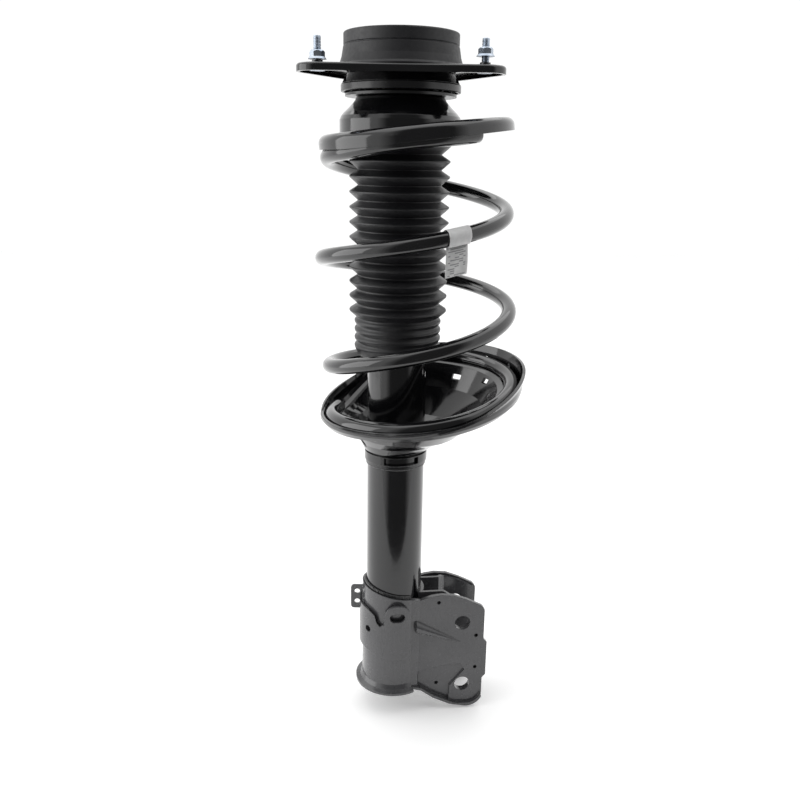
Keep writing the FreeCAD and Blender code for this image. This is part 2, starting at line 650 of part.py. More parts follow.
def tube_pieces():
    """The damper tube and what closes and fills it."""
    outer = "tube_diameter / 2"
    inner = "tube_diameter / 2 - tube_wall"
    bore = "bore_diameter / 2"
    jacket = "bore_diameter / 2 + pressure_wall"
    running = "rod_diameter / 2 + running_gap"
    turned("outer_tube", [
        (inner, "tube_bottom"), (outer, "tube_bottom"), (outer, "tube_top"), (inner, "tube_top")],
        rounded=[(outer, "tube_top", 1)])
    turned("tube_top_cap", [
        ("rod_diameter / 2 + 0.6", "tube_top + 3"), (outer + " - 1.2", "tube_top + 3"),
        (outer, "tube_top + 1.8"), (outer, "tube_top + joint_gap"), (inner + " - 0.1", "tube_top + joint_gap"),
        (inner + " - 0.1", "tube_top - 3"), ("rod_diameter / 2 + 0.6", "tube_top - 3")])
    turned("oil_seal", [
        (running, "tube_top - 3.1"), (inner + " - 0.1", "tube_top - 3.1"),
        (inner + " - 0.1", "tube_top - 11"), ("rod_diameter / 2 + 3", "tube_top - 11"), (running, "tube_top - 9")])
    turned("rod_guide", [
        ("rod_diameter / 2 + 2", "tube_top - 11.1"), (inner + " - 0.1", "tube_top - 11.1"),
        (inner + " - 0.1", "tube_top - 24.9"), (bore + " - 0.1", "tube_top - 24.9"),
        (bore + " - 0.1", "tube_top - 35"), ("rod_diameter / 2 + 2", "tube_top - 35")])
    turned("guide_bush", [
        (running, "tube_top - 14"), ("rod_diameter / 2 + 1.95", "tube_top - 14"),
        ("rod_diameter / 2 + 1.95", "tube_top - 33"), (running, "tube_top - 33")])
    turned("pressure_tube", [
        (bore, "tube_bottom + 18"), (jacket, "tube_bottom + 18"), (jacket, "tube_top - 25"),
        (bore, "tube_top - 25")])
    valve = turned("base_valve", [
        (0, "tube_bottom + 6"), (17, "tube_bottom + 6"), (22.6, "tube_bottom + 10"),
        (22.6, "tube_bottom + 17.9"), (bore + " - 0.1", "tube_bottom + 17.9"),
        (bore + " - 0.1", "tube_bottom + 26"), (4, "tube_bottom + 26"), (3, "tube_bottom + 30"),
        (0, "tube_bottom + 30")])
    port = new_sketch(valve, "XY_Plane", lift="tube_bottom + 31")
    draw_circle(port, 10, 0, 1.5)
    cut = pocket(valve, port, 30)
    pattern(valve, [cut], 6)
    turned("tube_end_cap", [
        (0, "tube_bottom - 1"), (16, "tube_bottom - 1"), (20, "tube_bottom - 3.6"),
        (outer, "tube_bottom - 3.6"), (outer, "tube_bottom - joint_gap"),
        (inner + " - 0.1", "tube_bottom - joint_gap"), (inner + " - 0.1", "tube_bottom + 4"),
        (0, "tube_bottom + 4")])
    collar = turned("seat_collar", [
        (outer + " + joint_gap", "collar_bottom"), ("collar_diameter / 2 - 1", "collar_bottom"),
        ("collar_diameter / 2 - 1", "collar_bottom + 2.2"), ("collar_diameter / 2", "collar_bottom + 2.9"),
        ("collar_diameter / 2", "collar_top"), (outer + " + joint_gap", "collar_top")])
    window = new_sketch(collar, "XZ_Plane")
    draw_loop(window, [(-13, "collar_bottom + 3.6"), (17, "collar_bottom + 3.6"),
                       (17, "collar_top - 0.9"), (-13, "collar_top - 0.9")])
    pocket(collar, window, 100, flip=True)
    turned("seat_weld", [
        (outer + " + joint_gap", "collar_bottom - 0.1"), ("collar_diameter / 2 - 0.8", "collar_bottom - 0.1"),
        (outer + " + joint_gap", "collar_bottom - 2.8", outer + " + 0.6", "collar_bottom - 1.1")])


# ---------------------------------------------------------------- lower spring dish

def channel_level(turn):
    """Height of the wire's centre over the dish; past the wire it eases down to where the wire began."""
    if turn <= DROP_START:
        return along_stations(COIL_STATIONS, turn, 1)
    part = min((turn - DROP_START) / (DROP_END - DROP_START), 1.0)
    ease = 3 * part ** 2 - 2 * part ** 3
    high = along_stations(COIL_STATIONS, DROP_START, 1)
    low = along_stations(COIL_STATIONS, max(turn - 1, COIL_STATIONS[0][0]), 1)
    return high + (low - high) * ease


def dish_profile(turn):
    """One half section of the dish at an azimuth: (radius, height, share of the outboard offset)."""
    wire = size("wire_diameter") / 2
    level = channel_level(turn)
    cradle = wire + 1.15
    rim_level = along_stations(RIM_STATIONS, turn, 1)
    lip = 2.4 if rim_level < level + 4 else 1.2
    tube = size("tube_diameter") / 2 + size("joint_gap")
    profile = [(tube, -314.9, 0.0), (tube + 1.2, -313.1, 0.0), (34.0, -305.6, 0.15), (45.0, -298.2, 0.45),
               (57.0, 0.5 * (level - 303.0) + 1.0, 0.9), (66.5, level - 5.4, 1.0)]
    for angle in (205, 235, 270, 305, 335, 360):
        profile.append((DISH_RADIUS + cradle * math.cos(math.radians(angle)),
                        level + cradle * math.sin(math.radians(angle)), 1.0))
    wall = DISH_RADIUS + cradle
    profile += [(wall + 0.4, 0.5 * (level + rim_level) + 0.5, 1.0), (wall + 0.8 + lip, rim_level + 0.6, 1.0)]
    return profile


def dish_section(turn):
    """The closed section wire of the sheet at one azimuth."""
    azimuth = COIL_START + 360 * turn
    profile = dish_profile(turn)
    thickness = size("dish_sheet")
    lower = []
    for i, (radius, level, share) in enumerate(profile):
        before, after = profile[max(i - 1, 0)], profile[min(i + 1, len(profile) - 1)]
        run, rise = after[0] - before[0], after[1] - before[1]
        length = math.hypot(run, rise)
        lower.append((radius + thickness * rise / length, level - thickness * run / length, share))
    lower[0] = (profile[0][0], lower[0][1], 0.0)
    loop = profile + lower[::-1]
    points = [spot_at(radius, azimuth, level) + V(DISH_OFFSET * share, 0, 0) for radius, level, share in loop]
    return Part.makePolygon(points + points[:1])


def lower_spring_seat():
    """Pressed dish whose helical channel carries the bottom coil, with drain holes in its walls."""
    sections = [dish_section(i / DISH_STEPS) for i in range(DISH_STEPS)]
    dish = Part.makeLoft(sections, True, False, True)
    centre = V(DISH_OFFSET, 0, 0)
    for azimuth, level, wide, tall in ((49, -266.5, 9, 4.5), (16, -263.5, 8, 4.5)):
        slot = Part.makeBox(24, wide, tall, V(52, -wide / 2, level))
        slot.rotate(V(), UP, azimuth)
        dish = dish.cut(slot.translated(centre))
    for azimuth, level in ((36, -247.5), (14, -247.5)):
        heading = spot_at(1, azimuth)
        dish = dish.cut(Part.makeCylinder(2.2, 20, centre + spot_at(76, azimuth, level), heading))
    for azimuth in (100, 200, 300):
        dish = dish.cut(Part.makeCylinder(3, 60, centre * 0.5 + spot_at(44, azimuth, -340)))
    group("lower_spring_seat", [dish])


# ---------------------------------------------------------------- knuckle bracket

WRAP_INNER = "(tube_diameter / 2 + joint_gap)"
WRAP_OUTER = "(tube_diameter / 2 + joint_gap + wrap_sheet)"
# The wrap's top edge: its height at the strut's axis, and how much it rises for each millimetre outboard.
WELD_LEVEL = -453.37
WELD_SLOPE = -0.2196


def frame_cut(body, outline):
    """Trim the body to an outline seen along Y."""
    side = new_sketch(body, "XZ_Plane")
    draw_loop(side, [(-90, -380), (-90, -640), (140, -640), (140, -380)])
    draw_loop(side, outline)
    pocket(body, side, 200, both=True)


def mirror(body, features):
    """Repeat features on the other side of the XZ plane."""
    feature = body.newObject("PartDesign::Mirrored", "Mirrored")
    feature.Originals = features
    plane = next(f for f in body.Origin.OriginFeatures if f.Role == "XZ_Plane")
    feature.MirrorPlane = (plane, [""])
    body.Tip = feature
    doc.recompute()


def sector(body, corners, middle, sweep):
    """A section swept part of the way round the tube, centred on an azimuth."""
    sketch = new_sketch(body, "XZ_Plane", turn=middle)
    draw_loop(sketch, corners)
    feature = revolve(body, sketch, angle=sweep)
    feature.Midplane = True
    doc.recompute()
    return feature


def bolt_holes(body, small=()):
    """The two knuckle bolt holes, and any small tooling holes, through both sides."""
    holes = new_sketch(body, "XZ_Plane")
    draw_circle(holes, "upper_bolt_out", "upper_bolt_level", "bolt_diameter / 2")
    draw_circle(holes, "lower_bolt_out", "lower_bolt_level", "bolt_diameter / 2")
    for out, level in small:
        draw_circle(holes, out, level, 1.8)
    pocket(body, holes, 200, both=True)


def knuckle_outer():
    """Outer stamping: wrapped round the tube, with two parallel ears for the knuckle."""
    body = new_body("knuckle_bracket_outer")
    near = "ear_width / 2"
    far = "(ear_width / 2 - wrap_sheet)"
    plan = new_sketch(body, "XY_Plane", lift="-574")
    draw_loop(plan, [
        (88, f"-{near}"), (88, f"-{far}"), (20.5, f"-{far}"),
        (f"{WRAP_INNER} * cos(57)", f"-{WRAP_INNER} * sin(57)"),
        (f"{WRAP_INNER} * cos(57)", f"{WRAP_INNER} * sin(57)", f"-{WRAP_INNER}", 0),
        (20.5, far), (88, far), (88, near), (21.5, near),
        (f"{WRAP_OUTER} * cos(62)", f"{WRAP_OUTER} * sin(62)"),
        (f"{WRAP_OUTER} * cos(62)", f"-{WRAP_OUTER} * sin(62)", f"-{WRAP_OUTER}", 0),
        (21.5, f"-{near}")])
    pad(body, plan, 130)
    frame_cut(body, [
        (-50, WELD_LEVEL - 50 * WELD_SLOPE), (22, WELD_LEVEL + 22 * WELD_SLOPE), (32.6, -455), (42, -453.8), (54, -455),
        (66.3, -459.8), (78.5, -466), ("ear_edge", -474, 82.2, -469), ("ear_edge", -502),
        ("ear_edge + 3.2", -505.5), ("ear_edge + 3.2", -540.5), ("ear_edge", -544), ("ear_edge", -562),
        (65, -572, 76.5, -570.4), (52, -569.4), (36, -561.5), (24, -552.6), (14, -550), (-50, -550)])
    bolt_holes(body, ((39.5, -461.5), (76, -497.8), (76, -531.8), (39.5, -548.1)))
    sector(body, [
        (f"{WRAP_OUTER} - 1.5", -543), (WRAP_OUTER, -543), (f"{WRAP_OUTER} + 2", -546.9),
        (f"{WRAP_OUTER} + 6", -548.3), (f"{WRAP_OUTER} + 6", -550.7), (f"{WRAP_OUTER} - 1.5", -550.7)], 180, 236)
    face = "ear_width / 2"
    recess = new_sketch(body, "XZ_Plane", lift=face)
    draw_loop(recess, [(15.6, -536), (25, -532.6), (49, -527.7), (62, -527.4), (66, -534),
                       (52, -551), (50, -590), (15.6, -590)])
    step = pocket(body, recess, 2)
    strip = new_sketch(body, "XZ_Plane", lift=f"{face} - 2.5")
    draw_loop(strip, [
        (16, -548), (24, -549.8), (36, -558.4), (52, -566.2), (65, -568.8, 58, -568.4),
        ("ear_edge - 1.2", -559.6, 76, -567), ("ear_edge - 0.4", -563),
        (65, -571.8, 76.3, -570.3), (52, -569.2), (36, -561.3), (24, -552.4), (16, -550.4)])
    flange = pad(body, strip, 5.5)
    root = new_sketch(body, "YZ_Plane", lift="18.5")
    draw_loop(root, [(f"-{face} + 1.4", -492, f"-{face} - 5", -485), (f"-{face} + 1.4", -478)])
    tip = new_sketch(body, "YZ_Plane", lift="61")
    draw_loop(tip, [(f"-{face} + 0.4", -504.6, f"-{face} - 0.3", -503.8), (f"-{face} + 0.4", -503)])
    bead = body.newObject("PartDesign::AdditiveLoft", "Bead")
    bead.Profile = root
    bead.Sections = [tip]
    doc.recompute()
    mirror(body, [step, flange, bead])


def knuckle_inner():
    """Inner channel: closes the wrap on the outboard side and lines both ears."""
    body = new_body("knuckle_bracket_inner")
    lining = "(ear_width / 2 - wrap_sheet - joint_gap)"
    inside = "(ear_width / 2 - wrap_sheet - joint_gap - channel_sheet)"
    plan = new_sketch(body, "XY_Plane", lift="-572")
    side = [(20.8, 15), (44, 15), (50, lining), (81, lining), (81, inside), (51.2, inside),
            (45.2, 12.2), (25.6, 12.2)]
    near = [(x, f"-{y}") for x, y in side]
    far = [(x, y) for x, y in reversed(side)]
    far[0] = far[0] + (28.4, 0)
    near[0] = near[0] + (WRAP_INNER, 0)
    draw_loop(plan, near + far)
    pad(body, plan, 120)
    frame_cut(body, [
        (10, -454.6), (46, -454.6), (66, -461), (80.5, -469), (80.5, -560), (66, -569, 76, -567),
        (52, -566), (36, -560), (24, -552), (10, -549)])
    bolt_holes(body)


def small_brackets():
    """Hose bracket in front of the wrap, its wing just clear of it, and the two-hole cable tab behind."""
    body = new_body("hose_bracket")

    def band(start, end, low, high):
        inner, outer = (f"({WRAP_OUTER} + {out})" for out in (start, end))
        return [(inner, low), (outer, low), (outer, high), (inner, high)]

    sector(body, band(0.7, 3.18, -515, -462), 217, 66)
    sector(body, band(2.3, 4.8, -515, -457), 269.5, 45)
    side = new_sketch(body, "XZ_Plane")
    draw_loop(side, [(-90, -400), (-90, -600), (90, -600), (90, -400)])
    draw_loop(side, [
        (12.5, -511), (12.5, -470), (-12, -470, 0.25, -457.8), (-12.4, -478), (-15.5, -481), (-18.6, -478),
        (-20.4, -471), (-25, -467.6), (-40, -463.4), (-40, -503), (-31, -508), (-21, -510), (-18.4, -513.6),
        (9.5, -513.6)])
    pocket(body, side, 60, flip=True)
    eye = new_sketch(body, "XZ_Plane")
    draw_loop(eye, [(-2.6, -474.2, -7.1, -469.7), (2.2, -474.2), (2.2, -465.2, 6.7, -469.7), (-2.6, -465.2)])
    pocket(body, eye, 60, flip=True)
    clip = new_sketch(body, "XZ_Plane", turn=217 + 90)
    draw_circle(clip, 0, -487, 3.2)
    pocket(body, clip, 60, flip=True)

    body = new_body("cable_tab")
    tab = new_sketch(body, "XZ_Plane", turn=-7)
    draw_loop(tab, [(f"-{WRAP_OUTER} - joint_gap", -478), (f"-{WRAP_OUTER} - 8", -478),
                    (f"-{WRAP_OUTER} - 11", -475, f"-{WRAP_OUTER} - 10.1", -477.1),
                    (f"-{WRAP_OUTER} - 11", -457),
                    (f"-{WRAP_OUTER} - 8", -454, f"-{WRAP_OUTER} - 10.1", -454.9),
                    (f"-{WRAP_OUTER} - joint_gap", -454)])
    for level in (-460.5, -471):
        draw_circle(tab, f"-{WRAP_OUTER} - 5", level, 2.6)
    pad(body, tab, 2.2, both=True)


def bracket_weld():
    """Weld bead part of the way round the tube, on the sloping top edge of the bracket."""
    radius = size("tube_diameter") / 2 + size("joint_gap")
    corner, toe, crown = V(radius, 0, 0), V(radius + 2.9, 0, 0), V(radius, 0, 3.4)
    middle = V(radius + 2.2, 0, 2.3)
    section = Part.Wire([
        Part.makeLine(corner, toe), Part.Arc(toe, middle, crown).toShape(), Part.makeLine(crown, corner)])
    bead = Part.Face(section).revolve(V(), UP, 236)
    bead.rotate(V(), UP, 62)
    lean = FreeCAD.Matrix(1, 0, 0, 0, 0, 1, 0, 0, WELD_SLOPE, 0, 1, WELD_LEVEL + 0.1, 0, 0, 0, 1)
    group("bracket_weld", [bead.transformGeometry(lean)])


# ---------------------------------------------------------------- check and write

def main():
    mount_plate()
    mount_studs()
    stud_nuts()
    mount_pieces()
    bearing_pieces()
    upper_spring_seat()
    coil_spring()
    coil_label()
    dust_boot()
    rod_pieces()
    tube_pieces()
    lower_spring_seat()
    knuckle_outer()
    knuckle_inner()
    small_brackets()
    bracket_weld()
    doc.recompute()
    for thing in doc.Objects:
        if "Invalid" in thing.State or "Error" in thing.State:
            raise RuntimeError(thing.Label + " failed: " + str(thing.State))
    os.makedirs("parts", exist_ok=True)
    for thing in parts:
        if thing.Shape.isNull() or not thing.Shape.isValid():
            raise RuntimeError(thing.Label + " has no valid shape")
        thing.Shape.exportStep(f"parts/{thing.Label}.step")
        print(f"{thing.Label}: {thing.Shape.Volume / 1000:.2f} cm3, {len(thing.Shape.Solids)} solid(s)")


main()
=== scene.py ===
import json
import math
import random

import bpy
import numpy as np
from mathutils import Matrix, Vector


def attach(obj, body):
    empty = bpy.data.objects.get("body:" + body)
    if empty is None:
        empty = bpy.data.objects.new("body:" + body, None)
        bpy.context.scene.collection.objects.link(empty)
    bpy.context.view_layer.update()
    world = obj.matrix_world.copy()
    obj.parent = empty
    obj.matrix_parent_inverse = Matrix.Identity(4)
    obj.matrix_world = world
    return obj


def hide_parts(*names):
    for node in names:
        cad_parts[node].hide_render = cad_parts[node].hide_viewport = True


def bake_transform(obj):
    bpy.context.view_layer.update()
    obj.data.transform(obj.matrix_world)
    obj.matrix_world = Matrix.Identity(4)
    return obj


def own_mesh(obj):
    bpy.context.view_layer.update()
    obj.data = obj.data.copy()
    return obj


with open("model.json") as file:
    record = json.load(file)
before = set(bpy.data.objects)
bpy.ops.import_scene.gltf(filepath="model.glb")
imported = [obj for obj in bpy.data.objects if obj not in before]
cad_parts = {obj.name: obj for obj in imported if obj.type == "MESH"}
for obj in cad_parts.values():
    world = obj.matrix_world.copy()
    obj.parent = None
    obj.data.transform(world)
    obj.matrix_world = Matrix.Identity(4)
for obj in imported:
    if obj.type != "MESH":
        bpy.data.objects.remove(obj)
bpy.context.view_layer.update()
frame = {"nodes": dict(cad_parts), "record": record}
nodes = frame["nodes"]
MM = 0.001
DARK_SIDE = -88


# ------------------------------------------------------------ materials

def tree(name):
    material = bpy.data.materials.new(name)
    material.use_nodes = True
    return material, material.node_tree, material.node_tree.nodes["Principled BSDF"]


def node(nt, kind, **values):
    made = nt.nodes.new(kind)
    for key, value in values.items():
        setattr(made, key, value)
    return made


def noise(nt, scale, detail=3.0, rough=0.55):
    """Noise over the object's own coordinates, which are metres in the part's frame."""
    place = node(nt, "ShaderNodeTexCoord")
    made = node(nt, "ShaderNodeTexNoise")
    made.inputs["Scale"].default_value = scale
    made.inputs["Detail"].default_value = detail
    made.inputs["Roughness"].default_value = rough
    nt.links.new(place.outputs["Object"], made.inputs["Vector"])
    return made.outputs["Fac"]


def ramp(nt, value, stops):
    made = node(nt, "ShaderNodeValToRGB")
    elements = made.color_ramp.elements
    while len(elements) < len(stops):
        elements.new(0.5)
    for element, (place, colour) in zip(elements, stops):
        element.position = place
        element.color = (*colour, 1.0) if len(colour) == 3 else colour
    nt.links.new(value, made.inputs["Fac"])
    return made.outputs["Color"]


def spread(nt, value, low, high):
    """Map the middle of a noise onto low to high."""
    made = node(nt, "ShaderNodeMapRange")
    made.inputs["From Min"].default_value = 0.3
    made.inputs["From Max"].default_value = 0.7
    made.inputs["To Min"].default_value = low
    made.inputs["To Max"].default_value = high
    nt.links.new(value, made.inputs["Value"])
    return made.outputs["Result"]


def bump(nt, heights, edge=0.0):
    """Chain of bumps: (height output, strength, distance in metres), over edges eased by a small radius."""
    last = None
    if edge:
        eased = node(nt, "ShaderNodeBevel", samples=4)
        eased.inputs["Radius"].default_value = edge
        last = eased.outputs["Normal"]
    for height, strength, distance in heights:
        made = node(nt, "ShaderNodeBump")
        made.inputs["Strength"].default_value = strength
        made.inputs["Distance"].default_value = distance
        nt.links.new(height, made.inputs["Height"])
        if last is not None:
            nt.links.new(last, made.inputs["Normal"])
        last = made.outputs["Normal"]
    return last


def finish_of(name, colours, rough, grain, metal=0.0, coat=0.0, coat_rough=0.1, blotch=40.0, edge=0.0):
    """A finish with mottled colour, uneven roughness and a two-scale surface texture."""
    material, nt, shader = tree(name)
    large, small = noise(nt, blotch, 4.0), noise(nt, blotch * 9, 2.0)
    nt.links.new(ramp(nt, large, [(0.3, colours[0]), (0.7, colours[1])]), shader.inputs["Base Color"])
    nt.links.new(spread(nt, small, *rough), shader.inputs["Roughness"])
    surface = bump(nt, [(noise(nt, s, 2.0), strength, depth) for s, strength, depth in grain], edge)
    nt.links.new(surface, shader.inputs["Normal"])
    shader.inputs["Metallic"].default_value = metal
    shader.inputs["Coat Weight"].default_value = coat
    shader.inputs["Coat Roughness"].default_value = coat_rough
    return material


black_paint = finish_of("painted_steel", ((0.0030, 0.0030, 0.0036), (0.0050, 0.0050, 0.0058)), (0.09, 0.16),
                        [(300, 0.04, 0.0003), (45, 0.04, 0.0008)], coat=0.4, coat_rough=0.06, blotch=25,
                        edge=0.0009)
bracket_paint = finish_of("painted_bracket", ((0.046, 0.046, 0.049), (0.064, 0.064, 0.067)), (0.2, 0.3),
                          [(260, 0.03, 0.0002), (45, 0.04, 0.0008)], coat=0.5, coat_rough=0.1, blotch=28,
                          edge=0.0009)
BRACKETS = ("knuckle_bracket_outer", "knuckle_bracket_inner", "hose_bracket", "cable_tab")
spring_paint = finish_of("painted_wire", ((0.0032, 0.0032, 0.0038), (0.0055, 0.0055, 0.0062)), (0.08, 0.14),
                         [(260, 0.05, 0.0003), (40, 0.05, 0.0008)], coat=0.5, coat_rough=0.05, blotch=30)
mount_rubber = finish_of("moulded_rubber", ((0.009, 0.009, 0.011), (0.014, 0.014, 0.016)), (0.42, 0.55),
                         [(2600, 0.2, 0.00015), (120, 0.08, 0.0008)], blotch=35, edge=0.0006)
boot_rubber = finish_of("boot_rubber_skin", ((0.006, 0.006, 0.0072), (0.010, 0.010, 0.0115)), (0.34, 0.46),
                        [(1800, 0.15, 0.0001), (90, 0.08, 0.0006)], blotch=30)
foam = finish_of("foam", ((0.55, 0.47, 0.25), (0.66, 0.57, 0.32)), (0.7, 0.9),
                 [(2200, 0.5, 0.0004)], blotch=60)
zinc = finish_of("zinc_plate", ((0.36, 0.42, 0.50), (0.50, 0.55, 0.62)), (0.24, 0.42),
                 [(700, 0.15, 0.0003)], metal=1.0, blotch=180)
chrome = finish_of("hard_chrome", ((0.50, 0.51, 0.52), (0.58, 0.59, 0.60)), (0.06, 0.14),
                   [(900, 0.04, 0.0002)], metal=1.0, blotch=60)
plastic = finish_of("bearing_plastic", ((0.004, 0.004, 0.0045), (0.007, 0.007, 0.0075)), (0.18, 0.28),
                    [(900, 0.08, 0.0002)], blotch=50)
bright_steel = finish_of("bearing_steel", ((0.55, 0.55, 0.56), (0.62, 0.62, 0.63)), (0.1, 0.2),
                         [(800, 0.05, 0.0001)], metal=1.0, blotch=90)
bare_steel = finish_of("bare_steel", ((0.30, 0.30, 0.31), (0.40, 0.40, 0.41)), (0.3, 0.45),
                       [(600, 0.12, 0.0003)], metal=1.0, blotch=70)
ptfe = finish_of("ptfe", ((0.50, 0.48, 0.42), (0.58, 0.56, 0.50)), (0.45, 0.6),
                 [(800, 0.1, 0.0002)], blotch=80)

BY_SLOT = {"gloss_black_paint": black_paint, "spring_paint": spring_paint, "matt_rubber": mount_rubber,
           "boot_rubber": boot_rubber, "foam": foam, "zinc_plate": zinc, "hard_chrome": chrome,
           "bearing_plastic": plastic, "bearing_steel": bright_steel, "bare_steel": bare_steel, "ptfe": ptfe}


def label_material():
    """Pale paper with plain grey bars in rows; the bars carry no lettering."""
    material, nt, shader = tree("label_paper")
    place = node(nt, "ShaderNodeUVMap")
    split = node(nt, "ShaderNodeSeparateXYZ")
    nt.links.new(place.outputs["UV"], split.inputs["Vector"])

    def math_node(kind, a, b):
        made = node(nt, "ShaderNodeMath", operation=kind)
        for socket, value in zip(made.inputs, (a, b)):
            if isinstance(value, float):
                socket.default_value = value
            else:
                nt.links.new(value, socket)
        return made.outputs[0]

    across, down = split.outputs["X"], split.outputs["Y"]
    row = math_node("MULTIPLY", down, 14.0)
    line = math_node("LESS_THAN", math_node("FRACT", row, 0.0), 0.52)
    cell = node(nt, "ShaderNodeTexWhiteNoise", noise_dimensions="2D")
    joined = node(nt, "ShaderNodeCombineXYZ")
    nt.links.new(math_node("FLOOR", row, 0.0), joined.inputs["Y"])
    nt.links.new(math_node("FLOOR", math_node("MULTIPLY", across, 5.0), 0.0), joined.inputs["X"])
    nt.links.new(joined.outputs["Vector"], cell.inputs["Vector"])
    filled = math_node("GREATER_THAN", cell.outputs["Value"], 0.45)
    inside = math_node("MULTIPLY", math_node("GREATER_THAN", across, 0.1),
                       math_node("LESS_THAN", across, 0.9))
    bars = math_node("MULTIPLY", math_node("MULTIPLY", line, filled), inside)
    mix = node(nt, "ShaderNodeMix", data_type="RGBA")
    nt.links.new(bars, mix.inputs["Factor"])
    paper = ramp(nt, noise(nt, 260, 3.0), [(0.3, (0.60, 0.60, 0.60)), (0.7, (0.68, 0.68, 0.68))])
    nt.links.new(paper, mix.inputs["A"])
    mix.inputs["B"].default_value = (0.28, 0.28, 0.29, 1.0)
    nt.links.new(mix.outputs["Result"], shader.inputs["Base Color"])
    nt.links.new(spread(nt, noise(nt, 900), 0.42, 0.58), shader.inputs["Roughness"])
    creases = bump(nt, [(noise(nt, 900), 0.15, 0.0002), (noise(nt, 90), 0.2, 0.001)])
    nt.links.new(creases, shader.inputs["Normal"])
    return material


BY_SLOT["label_paper"] = label_material()


# ------------------------------------------------------------ mesh helpers

def build(name, points, faces, slot, body=None, replaced=()):
    """A mesh object from points in millimetres."""
    mesh = bpy.data.meshes.new(name)
    mesh.from_pydata([tuple(c * MM for c in p) for p in points], [], faces)
    mesh.validate()
    mesh.update()
    thing = bpy.data.objects.new(name, mesh)
    bpy.context.scene.collection.objects.link(thing)
    mesh.materials.append(BY_SLOT[slot])
    for face in mesh.polygons:
        face.use_smooth = True
    if body:
        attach(thing, body)
    if replaced:
        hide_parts(*replaced)
    return thing


def sweep(rings, loop=False):
    """Points and faces of a tube through equal rings of points; loop joins the last ring to the first."""
    count, around = len(rings), len(rings[0])
    points = [p for ring in rings for p in ring]
    faces = []
    for i in range(count if loop else count - 1):
        a, b = i * around, ((i + 1) % count) * around
        for k in range(around):
            n = (k + 1) % around
            faces.append((a + k, a + n, b + n, b + k))
    if not loop:
        faces.append(tuple(reversed(range(around))))
        faces.append(tuple(range((count - 1) * around, count * around)))
    return points, faces


def lathe(section, steps=160):
    """Points and faces of a closed half section of (radius, height) turned about the axis."""
    rings = []
    for i in range(steps):
        c, s = math.cos(2 * math.pi * i / steps), math.sin(2 * math.pi * i / steps)
        rings.append([(r * c, r * s, z) for r, z in section])
    return sweep(rings, loop=True)


def rounded(section, radius, arc=4):
    """The closed section with each corner rounded; radius is a number or a function of (r, z)."""
    out = []
    count = len(section)
    for i in range(count):
        p, a, b = Vector(section[i]), Vector(section[i - 1]), Vector(section[(i + 1) % count])
        ra, rb = (a - p), (b - p)
        reach = min(radius(*section[i]) if callable(radius) else radius, ra.length * 0.45, rb.length * 0.45)
        start, end = p + ra.normalized() * reach, p + rb.normalized() * reach
        for k in range(arc + 1):
            t = k / arc
            out.append(tuple((1 - t) ** 2 * start + 2 * t * (1 - t) * p + t * t * end))
    return out


# ------------------------------------------------------------ spring

STATIONS = [
    (-0.05, -285.6, 78.2, 22.0), (0.0, -285.0, 78.2, 22.0), (0.25, -274.0, 78.2, 22.0),
    (0.5, -253.5, 78.2, 22.0), (0.75, -247.5, 78.0, 21.4), (1.0, -240.8, 77.4, 19.0),
    (1.25, -215.0, 77.4, 17.9), (1.5, -188.5, 77.2, 17.4), (1.75, -169.5, 76.8, 15.5),
    (2.0, -149.0, 76.4, 13.0), (2.25, -129.5, 76.4, 12.2), (2.5, -108.0, 76.2, 12.2),
    (2.75, -86.5, 74.5, 12.0), (3.0, -68.0, 70.4, 11.6), (3.12, -62.4, 68.4, 11.8),
    (3.25, -54.9, 67.8, 12.2), (3.33, -51.1, 67.7, 12.2), (3.37, -49.1, 67.7, 12.2)]
COIL_START = 173.0
WIRE = 6.25


def station(turn, column):
    last = len(STATIONS) - 1
    i = max(k for k in range(last) if STATIONS[k][0] <= turn + 1e-9 or k == 0)
    x0, x1 = STATIONS[i][0], STATIONS[i + 1][0]

    def slope(k):
        low, high = max(k - 1, 0), min(k + 1, last)
        return (STATIONS[high][column] - STATIONS[low][column]) / (STATIONS[high][0] - STATIONS[low][0])

    span = x1 - x0
    t = min(max((turn - x0) / span, 0.0), 1.0)
    start, end = STATIONS[i][column], STATIONS[i + 1][column]
    return ((2 * t ** 3 - 3 * t ** 2 + 1) * start + (t ** 3 - 2 * t ** 2 + t) * slope(i) * span
            + (3 * t ** 2 - 2 * t ** 3) * end + (t ** 3 - t ** 2) * slope(i + 1) * span)


def coil_point(turn):
    level, radius, offset = (station(turn, column) for column in (1, 2, 3))
    angle = math.radians(COIL_START + 360 * turn)
    return Vector((radius * math.cos(angle) + offset, radius * math.sin(angle), level))


def coil_along(turn):
    return (coil_point(turn + 0.004) - coil_point(turn - 0.004)).normalized()


def follow_coil(thing):
    """Bake the piece's placement into its own mesh."""
    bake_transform(thing)


def spring():
    first, last = STATIONS[0][0], STATIONS[-1][0]
    around = 28
    spots = [first + (last - first) * i / 300 for i in range(301)]
    rings, turns = [], []
    ends = [(0.0, 0.0), (0.0, 0.86), (0.0007, 0.97), (0.0016, 1.0)]
    places = [(first + step, share) for step, share in ends[1:]]
    places += [(turn, 1.0) for turn in spots if first + 0.002 < turn < last - 0.002]
    places += [(last - step, share) for step, share in reversed(ends[1:])]
    for turn, share in places:
        centre, along = coil_point(turn), coil_along(min(max(turn, first + 0.005), last - 0.005))
        side = along.cross(Vector((0, 0, 1))).normalized()
        up = side.cross(along)
        ring = []
        for k in range(around):
            angle = 2 * math.pi * k / around
            ring.append(tuple(centre + (side * math.cos(angle) + up * math.sin(angle)) * WIRE * share))
        rings.append(ring)
        turns += [turn] * around
    points, faces = sweep(rings)
    thing = build("coil_spring_wire", points, faces, "spring_paint", replaced=["coil_spring"])
    follow_coil(thing)


